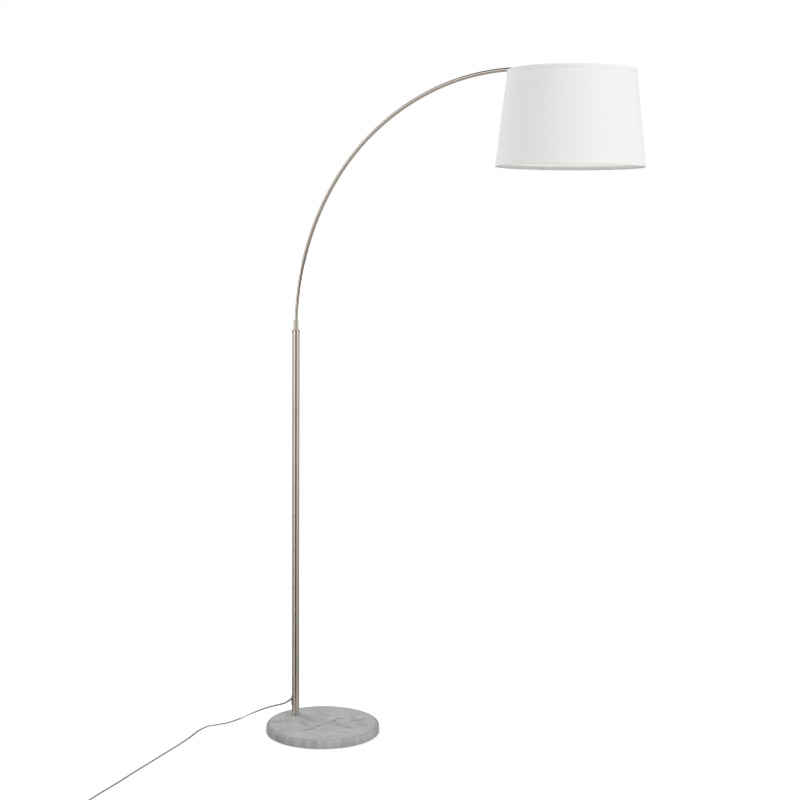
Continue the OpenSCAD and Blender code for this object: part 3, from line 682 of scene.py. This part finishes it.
def linen(name, tint):
    """White plain-weave cloth wrapped round the shade, with slubs in both directions."""
    thread, mean_radius = 0.00085, 0.176
    t = new_material(name)
    angle, z = t.round_axis(*SHADE_AXIS)
    around = t.math("MULTIPLY", angle, mean_radius)
    drift = t.math("MULTIPLY", t.math("SUBTRACT", t.noise(t.spot(), 22.0, 3.0), 0.5), 0.0012)
    u = t.math("DIVIDE", t.math("ADD", around, drift), thread)
    v = t.math("DIVIDE", t.math("ADD", z, drift), thread)
    warp = t.math("ABSOLUTE", t.math("SINE", t.math("MULTIPLY", u, math.pi)))
    weft = t.math("ABSOLUTE", t.math("SINE", t.math("MULTIPLY", v, math.pi)))
    over = t.math("GREATER_THAN", t.math("SINE", t.math("MULTIPLY", u, math.pi / 2)), 0.0)
    swap = t.math("GREATER_THAN", t.math("SINE", t.math("MULTIPLY", v, math.pi / 2)), 0.0)
    which = t.math("ABSOLUTE", t.math("SUBTRACT", over, swap))
    weave = t.math("ADD", t.math("MULTIPLY", which, warp),
                   t.math("MULTIPLY", t.math("SUBTRACT", 1.0, which), weft))
    slub_up = t.noise(t.join(t.math("MULTIPLY", around, 900), t.math("MULTIPLY", z, 70), 0.0),
                      1.0, 2.0, 0.5)
    slub_round = t.noise(t.join(t.math("MULTIPLY", around, 70), t.math("MULTIPLY", z, 900), 7.0),
                         1.0, 2.0, 0.5)
    slubs = t.math("ADD", t.math("POWER", slub_up, 2.0), t.math("POWER", slub_round, 2.0))
    height = t.math("ADD", t.math("MULTIPLY", weave, 0.6), slubs)
    shade = t.weighted(weave, 0.45, slubs, 0.9)
    low = rgba(*(c * 0.94 for c in tint))
    t.set(Base_Color=t.ramp(shade, (0.15, low), (0.75, rgba(*tint))),
          Roughness=0.92, Sheen_Weight=0.12, Sheen_Roughness=0.5, Specular_IOR_Level=0.2,
          Normal=t.bump(height, 0.00022, 0.45))
    return t.owner


def cord_skin(name):
    """Clear sleeve over pale stranded cores, with a twist of strands under it."""
    t = new_material(name)
    strands = t.add("ShaderNodeTexWave", {"Vector": t.spot(), "Scale": 420.0, "Distortion": 3.0,
                                          "Detail": 2.0}, wave_type="BANDS",
                    bands_direction="DIAGONAL").outputs["Fac"]
    cloud = t.noise(t.spot(), 18.0, 3.0)
    tone = t.weighted(strands, 0.35, cloud, 0.65)
    t.set(Base_Color=t.ramp(tone, (0.3, rgba(0.27, 0.245, 0.215)), (0.7, rgba(0.40, 0.365, 0.33))),
          Metallic=0.15, Roughness=0.34, Coat_Weight=0.5, Coat_Roughness=0.15,
          Normal=t.bump(strands, 0.00003, 0.3))
    return t.owner


def clouded_white(name, tint, rough, **more):
    """A pale, slightly uneven skin: paint, film or opal glass."""
    t = new_material(name)
    cloud = t.noise(t.spot(), 40.0, 4.0, 0.6)
    low = rgba(*(c * 0.93 for c in tint))
    t.set(Base_Color=t.ramp(cloud, (0.3, low), (0.7, rgba(*tint))),
          Roughness=t.range(cloud, 0.3, 0.7, rough - 0.04, rough + 0.06),
          Normal=t.bump(t.noise(t.spot(), 500.0, 2.0), 0.00003, 0.4), **more)
    return t.owner


def felt(name):
    """Dark pressed fibres."""
    t = new_material(name)
    fibre = t.noise(t.spot(), 1400.0, 4.0, 0.7, 1.5)
    t.set(Base_Color=t.ramp(fibre, (0.3, grey(0.03)), (0.7, rgba(0.11, 0.10, 0.095))),
          Roughness=0.95, Sheen_Weight=0.3, Normal=t.bump(fibre, 0.0003, 0.8))
    return t.owner


SHADE_AXIS = tuple((a + b) / 2 for a, b in zip(*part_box("shade_fabric")))[:2]
FINISH = {
    "pad": felt("felt"),
    "marble": marble("carrara"),
    "zinc_steel": zinc("zinc"),
    "satin_nickel": nickel("nickel"),
    "nylon": moulded("nylon", (0.62, 0.6, 0.54), (0.74, 0.72, 0.66), 0.42),
    "grommet": moulded("grommet", (0.09, 0.085, 0.075), (0.14, 0.13, 0.115), 0.42),
    "cord": cord_skin("clear_cord"),
    "tie": moulded("tie_plastic", (0.015, 0.015, 0.015), (0.03, 0.03, 0.03), 0.4),
    "plug": moulded("plug_plastic", (0.34, 0.32, 0.295), (0.43, 0.41, 0.38), 0.36),
    "brass": brass("brass"),
    "phenolic": moulded("phenolic", (0.02, 0.018, 0.017), (0.045, 0.04, 0.037), 0.33, 500.0),
    "white_wire": clouded_white("white_paint", (0.8, 0.8, 0.79), 0.36),
    "liner": clouded_white("liner_film", (0.9, 0.88, 0.85), 0.46),
    "linen": linen("linen", (0.93, 0.93, 0.925)),
    "hem_tape": linen("hem_cloth", (0.925, 0.925, 0.918)),
    "bulb_cap": zinc("bulb_metal"),
    "bulb_glass": clouded_white("opal_glass", (0.88, 0.88, 0.87), 0.28, Coat_Weight=0.4,
                                Coat_Roughness=0.08, Subsurface_Weight=0.2,
                                Subsurface_Radius=(0.01, 0.01, 0.01)),
}


# The arm rises from BEND_START and has two bends, which meet after BEND_TURN of the first one.
LOWER_RADIUS, UPPER_RADIUS = 0.691, 0.775
BEND_START = 1.187
BEND_TURN = math.radians(55)
LOWER_BEND = (POLE_X * MM + LOWER_RADIUS, BEND_START, LOWER_RADIUS)
UPPER_BEND = (LOWER_BEND[0] - (LOWER_RADIUS - UPPER_RADIUS) * math.cos(BEND_TURN),
              LOWER_BEND[1] + (LOWER_RADIUS - UPPER_RADIUS) * math.sin(BEND_TURN), UPPER_RADIUS)
NODE_FINISH = {
    "arm_lower": nickel("nickel_lower", LOWER_BEND),
    "arm_upper": nickel("nickel_upper", UPPER_BEND),
}


def paint(piece, material):
    """Gives a whole piece one material."""
    piece.data.materials.clear()
    piece.data.materials.append(material)


for name, node in NODES.items():
    paint(node, NODE_FINISH.get(name) or FINISH[node.material_slots[0].material.name])

# ---------------------------------------------------------------- shade cloth and hems

SHADE_LOW, SHADE_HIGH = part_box("bottom_trim")[0][2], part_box("top_trim")[1][2]
HEM_HEIGHT, HEM_SKIN, CLOTH_SKIN = 0.009, 0.0004, 0.0006
# The cloth's ends lap at this turn, for this far round the shade, raised by this much.
SEAM_TURN = 150
LAP_WIDTH, LAP_RISE, LAP_FOLD = 0.012, 0.00045, 0.0007


def half_width(node):
    """Half of a node's size along X."""
    low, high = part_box(node)
    return (high[0] - low[0]) / 2


LOW_RADIUS = half_width("bottom_trim") - HEM_SKIN
HIGH_RADIUS = half_width("top_trim") - HEM_SKIN
SLANT = (LOW_RADIUS - HIGH_RADIUS) / (SHADE_HIGH - HEM_HEIGHT - SHADE_LOW)


def cone_radius(z):
    """The cloth's radius at a height."""
    return LOW_RADIUS - SLANT * (z - SHADE_LOW)


def shade_turns():
    """Angles in degrees round the shade, closer together near the seam."""
    first, last = SEAM_TURN - 4, SEAM_TURN + 1
    fine, fine_step = 24, 0.25
    coarse = [float(a) for a in range(360) if not first <= a <= last]
    return sorted(coarse + [first + fine_step * k for k in range(fine)])


def lap(angle):
    """Height of the upper layer over the lapped seam: a slow rise and a short folded edge."""
    before = (SEAM_TURN - angle) * math.radians(1) * LOW_RADIUS
    if before < 0 or before > LAP_WIDTH:
        return 0.0
    return LAP_RISE * min(1.0, before / LAP_FOLD) * (1 - (before / LAP_WIDTH) ** 2)


def shade_point(radius, angle, z):
    """A point at a radius from the shade's axis."""
    return (SHADE_AXIS[0] + radius * math.cos(angle), SHADE_AXIS[1] + radius * math.sin(angle), z)


def add_shade_cloth():
    """The stretched cloth: an outer and an inner skin, drawn in and out slightly by its pull."""
    turns = shade_turns()
    rows, most_pull = 30, 0.00012
    low, high = SHADE_LOW + HEM_SKIN, SHADE_HIGH - HEM_SKIN
    heights = [low + (high - low) * i / (rows - 1) for i in range(rows)]
    points = []
    for layer in (heights, heights[::-1]):
        outer = layer is heights
        for z in layer:
            middle = math.sin(math.pi * (z - low) / (high - low))
            for angle in turns:
                a = math.radians(angle)
                spot = Vector((math.cos(a) * 2.2, math.sin(a) * 2.2, z * 9))
                pull = most_pull * middle * noise.noise(spot)
                r = cone_radius(z) + (lap(angle) + pull if outer else -CLOTH_SKIN)
                points.append(shade_point(r, a, z))
    cloth = new_mesh("shade_cloth", points, grid_faces(2 * rows, len(turns), wrap_rows=True))
    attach(cloth, "shade")
    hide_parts("shade_fabric")
    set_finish(cloth, "linen")
    return cloth


def add_hem(name, node, edge, inwards):
    """Tape folded over the edge of the cloth and its liner, with a rolled edge and a lapped end."""
    # The section is (outwards from the cloth, in from the edge), in millimetres.
    outline = [(0.04, 9.0), (0.34, 8.92), (0.42, 8.5), (0.45, 6.0), (0.47, 3.0), (0.46, 1.2),
               (0.36, 0.5), (0.1, 0.12), (-0.3, -0.02), (-0.8, -0.02), (-1.2, 0.12), (-1.46, 0.5),
               (-1.55, 1.2), (-1.56, 3.0), (-1.54, 6.0), (-1.52, 8.5), (-1.44, 8.92), (-1.14, 9.0),
               (-1.12, 0.45), (0.02, 0.45)]
    turns = shade_turns()
    points = []
    for k, (out, height) in enumerate(outline):
        for angle in turns:
            a = math.radians(angle)
            spot = Vector((math.cos(a) * 5, math.sin(a) * 5, edge * 30))
            z = edge + inwards * (height * MM)
            if height > 8:
                z += inwards * 0.00018 * noise.noise(spot * 3)
            grow = 0.00008 * noise.noise(spot) if 0 < k < len(outline) - 2 else 0.0
            if out > 0.3:
                grow += 0.8 * lap(angle)
            r = cone_radius(z) + out * MM + (grow if out > 0 else -grow)
            points.append(shade_point(r, a, z))
    hem = new_mesh(name, points, grid_faces(len(outline), len(turns), wrap_rows=True))
    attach(hem, "shade")
    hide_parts(node)
    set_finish(hem, "hem_tape")
    return hem


cloth = add_shade_cloth()
top_hem = add_hem("top_hem", "top_trim", SHADE_HIGH, -1)
bottom_hem = add_hem("bottom_hem", "bottom_trim", SHADE_LOW, 1)


# ---------------------------------------------------------------- bulb

BULB_AXIS = Vector((*SHADE_AXIS, 0))
GLASS_SKIN = 0.0008
# Turned outlines stop this far from their axis, so that their caps have no folded faces.
PIN = 0.0001
NECK_RADIUS = 0.0143
THREAD_PITCH, THREAD_CREST, THREAD_DEPTH, THREAD_SKIRT = 0.00363, 0.01305, 0.00055, 0.0035
INSULATOR_HEIGHT = 0.0035
CONTACT_HEIGHT = 0.00149


def add_envelope():
    """The opal glass: a ball that runs in a smooth waist into its neck, with an open mouth."""
    low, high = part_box("bulb_glass")
    radius = (high[0] - low[0]) / 2
    middle = low[2] + radius
    neck_z, mouth_z = high[2] - 0.006, high[2] - 0.0006
    lean = math.atan2(neck_z - middle, NECK_RADIUS)
    touch = lean - math.acos(radius / math.hypot(NECK_RADIUS, neck_z - middle))
    ball, ball_steps, waist_steps = [], 40, 12
    for i in range(1, ball_steps + 1):
        angle = -math.pi / 2 + (math.pi / 2 + touch) * i / ball_steps
        ball.append((radius * math.cos(angle), middle + radius * math.sin(angle)))
    a, b = Vector(ball[-1]), Vector((NECK_RADIUS, neck_z))
    waist = Vector((a.x + (b.x - a.x) * 0.75, a.y + (b.y - a.y) * 0.6))
    for i in range(1, waist_steps + 1):
        f = i / waist_steps
        spot = a * (1 - f) ** 2 + waist * 2 * f * (1 - f) + b * f ** 2
        ball.append((spot.x, spot.y))
    ball += [(0.0138, neck_z + 0.003), (0.0135, mouth_z)]
    inside = [(max(r - GLASS_SKIN, 2 * PIN), z + (GLASS_SKIN if z < middle else 0))
              for r, z in ball[::-1]]
    inside[0] = (0.0127, mouth_z)
    outline = [(PIN, low[2])] + ball + inside + [(PIN, low[2] + GLASS_SKIN)]
    glass = turned("bulb_envelope", outline, BULB_AXIS, 96)
    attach(glass, "shade")
    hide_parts("bulb_glass")
    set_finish(glass, "bulb_glass")
    return glass


def add_bulb():
    """The envelope, a cap with a rolled thread, a black insulator and a solder contact."""
    glass = add_envelope()
    low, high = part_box("bulb_base")
    top, bottom = high[2] - 0.005, low[2] + 0.0002
    rows, steps, points = 60, 72, []
    for i in range(rows):
        z = bottom + (top - bottom) * i / (rows - 1)
        # The thread fades out above the skirt and below the top.
        hold = min(1, max(0, (z - bottom - THREAD_SKIRT) / 0.002))
        hold *= min(1, max(0, (top - z) / 0.0015))
        for j in range(steps):
            a = 2 * math.pi * j / steps
            wave = 0.5 - 0.5 * math.cos(2 * math.pi * (z / THREAD_PITCH - j / steps))
            r = THREAD_CREST - THREAD_DEPTH * (wave * hold + 0.3 * (1 - hold))
            points.append(BULB_AXIS + Vector((r * math.cos(a), r * math.sin(a), z)))
    faces = grid_faces(rows, steps)
    points += [BULB_AXIS + UP * bottom, BULB_AXIS + UP * top]
    last = (rows - 1) * steps
    for j in range(steps):
        k = (j + 1) % steps
        faces += [(k, j, len(points) - 2), (last + j, last + k, len(points) - 1)]
    shell = new_mesh("bulb_screw_cap", points, faces)
    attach(shell, "shade")
    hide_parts("bulb_base")
    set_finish(shell, "bulb_cap")
    insulator = turned(
        "bulb_insulator",
        [(PIN, 0), (0.0127, 0), (0.0124, 0.0006), (0.0095, 0.0021), (0.0062, 0.0033),
         (0.005, INSULATOR_HEIGHT), (PIN, INSULATOR_HEIGHT)],
        BULB_AXIS + UP * top, 72)
    contact = turned(
        "bulb_contact",
        [(PIN, 0), (0.0045, 0), (0.0045, 0.0006), (0.0038, 0.0012), (0.002, CONTACT_HEIGHT),
         (PIN, CONTACT_HEIGHT)],
        BULB_AXIS + UP * (top + INSULATOR_HEIGHT), 48)
    for part, slot in ((insulator, "phenolic"), (contact, "brass")):
        part.parent = shell
        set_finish(part, slot)
    return [glass, shell, insulator, contact]


bulb = add_bulb()
for piece in (cord, plug, tie, *tie.children, grommet, *grommet.children, cloth, top_hem,
              bottom_hem, *bulb):
    paint(piece, FINISH[piece["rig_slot"]])


# ---------------------------------------------------------------- stage and light

def add_floor():
    """Pale paper. Gloss sees through it, to the lower part of the studio."""
    reach = 60
    floor = new_mesh("floor", [(-reach, -reach, 0), (reach, -reach, 0), (reach, reach, 0),
                               (-reach, reach, 0)], [(0, 1, 2, 3)], smooth=False)
    t = new_material("floor_paper")
    rays = t.add("ShaderNodeLightPath").outputs
    x, y, _ = t.split(t.spot())
    # What the camera sees of it is lifted towards the white behind it, more so away from the lamp.
    glow = t.range(t.length(x, y), 0.25, 2.0, 0.36, 0.62)
    t.set(Base_Color=t.mix(rays["Is Camera Ray"], grey(0.6), grey(0.9)), Roughness=0.9,
          Specular_IOR_Level=0.0, Emission_Color=grey(1.0),
          Emission_Strength=t.math("MULTIPLY", rays["Is Camera Ray"], glow))
    clear = t.add("ShaderNodeBsdfTransparent")
    both = t.add("ShaderNodeMixShader", {
        0: rays["Is Glossy Ray"], 1: t.tree.nodes["Principled BSDF"].outputs[0],
        2: clear.outputs[0]})
    t.put(t.tree.nodes["Material Output"].inputs[0], both.outputs[0])
    t.owner.cycles.emission_sampling = "NONE"
    paint(floor, t.owner)


# Brightness of the studio in gloss, by turn in degrees: the camera's side is 0 and its right is
# positive. Level is what upright surfaces reflect, low is towards the floor and high is above.
LEVEL = [(-179, 0.05), (-145, 0.05), (-120, 0.45), (-90, 0.65), (-75, 0.7), (-62, 0.95),
         (-50, 1.5), (-42, 2.2), (-34, 2.45), (-27, 2.1), (-21, 1.3), (-16, 0.5), (-12, 0),
         (18, 0), (24, 0.3), (30, 0.9), (37, 1.6), (48, 1.85), (58, 1.6), (72, 1.0), (90, 0.7),
         (120, 0.6), (145, 0.3), (179, 0.05)]
LOW = [(-179, 0.3), (-110, 0.2), (-90, 0.18), (-75, 0.22), (-60, 0.34), (-42, 0.42), (-26, 0.5),
       (-17, 0.44), (-12, 0), (18, 0), (24, 0.2), (32, 0.4), (44, 0.4), (60, 0.36), (90, 0.34),
       (120, 0.28), (179, 0.3)]
HIGH = [(-179, 0.03), (-127, 0.03), (-114, 0.6), (-100, 2.0), (-85, 2.4), (-30, 2.2),
        (-18, 1.7), (-11, 0.05), (17, 0.05), (24, 1.5), (32, 1.9), (90, 1.5), (125, 0.5),
        (150, 0.05), (179, 0.03)]


# How far the middle of LEVEL, LOW and HIGH is turned from the direction of minus X, in degrees.
STUDIO_TURN = 52


def add_world():
    """White to the camera, an even dome for matt surfaces, and a studio seen only in gloss."""
    brightest = 2.5
    world = bpy.data.worlds.new("studio")
    bpy.context.scene.world = world
    world.cycles.sampling_method = "NONE"
    t = Tree(world)
    x, y, z = t.split(t.add("ShaderNodeTexCoord").outputs["Generated"])
    # A share of a full turn, with 0.5 towards the camera.
    turn = t.math("DIVIDE", t.math("ARCTAN2", y, x), 2 * math.pi)
    turn = t.math("FRACT", t.math("ADD", turn, 0.5 + STUDIO_TURN / 360))
    level, low, high = (
        t.ramp(turn, *((0.5 + place / 360, grey(value / brightest)) for place, value in row))
        for row in (LEVEL, LOW, HIGH))
    gloss = t.mix(t.range(z, -0.26, -0.09, 0.0, 1.0), low, level)
    gloss = t.mix(t.range(z, -0.02, 0.07, 0.0, 1.0), gloss, high)
    gloss = t.mix(t.range(z, 0.32, 0.46, 0.0, 1.0), gloss, rgba(0.05, 0.055, 0.075))
    gloss = t.mix(t.range(z, -0.48, -0.62, 0.0, 1.0), gloss, rgba(0.26, 0.25, 0.235))
    gloss = t.add("ShaderNodeVectorMath", {0: gloss, 1: (brightest,) * 3},
                  operation="MULTIPLY").outputs[0]
    rays = t.add("ShaderNodeLightPath").outputs
    colour = t.mix(rays["Is Glossy Ray"], grey(0.82), gloss)
    colour = t.mix(rays["Is Camera Ray"], colour, grey(1.0))
    t.put(t.tree.nodes["Background"].inputs[0], colour)


# The middle of the shade, which the lights are aimed at.
LIT_SPOT = Vector((0.82, 0, 1.7))


def add_sun(name, power, place, angle):
    """A sun as wide as angle, which metal doesn't reflect, aimed from place at the shade."""
    data = bpy.data.lights.new(name, "SUN")
    data.energy = power
    data.angle = angle
    light = bpy.data.objects.new(name, data)
    light.location = place
    light.rotation_euler = (LIT_SPOT - Vector(place)).to_track_quat("-Z", "Y").to_euler()
    light.visible_glossy = light.visible_camera = False
    bpy.context.scene.collection.objects.link(light)
    return light


add_floor()
add_world()
# Two broad suns light the shade alike wherever the arm turns it.
add_sun("left_sun", 0.82, (-4.0, 0.5, 2.9), math.radians(45))
add_sun("right_sun", 0.98, (4.8, -0.5, 2.7), math.radians(45))
# Light that comes through the cloth reaches only the liner, from all sides alike.
inside = bpy.data.collections.new("inside_shade")
inside.objects.link(NODES["shade_liner"])
through = add_sun("through_cloth", 1.9, (0.82, 0, 0), math.pi)
through.light_linking.receiver_collection = inside
through.light_linking.blocker_collection = inside
bpy.context.scene.view_settings.view_transform = "Standard"
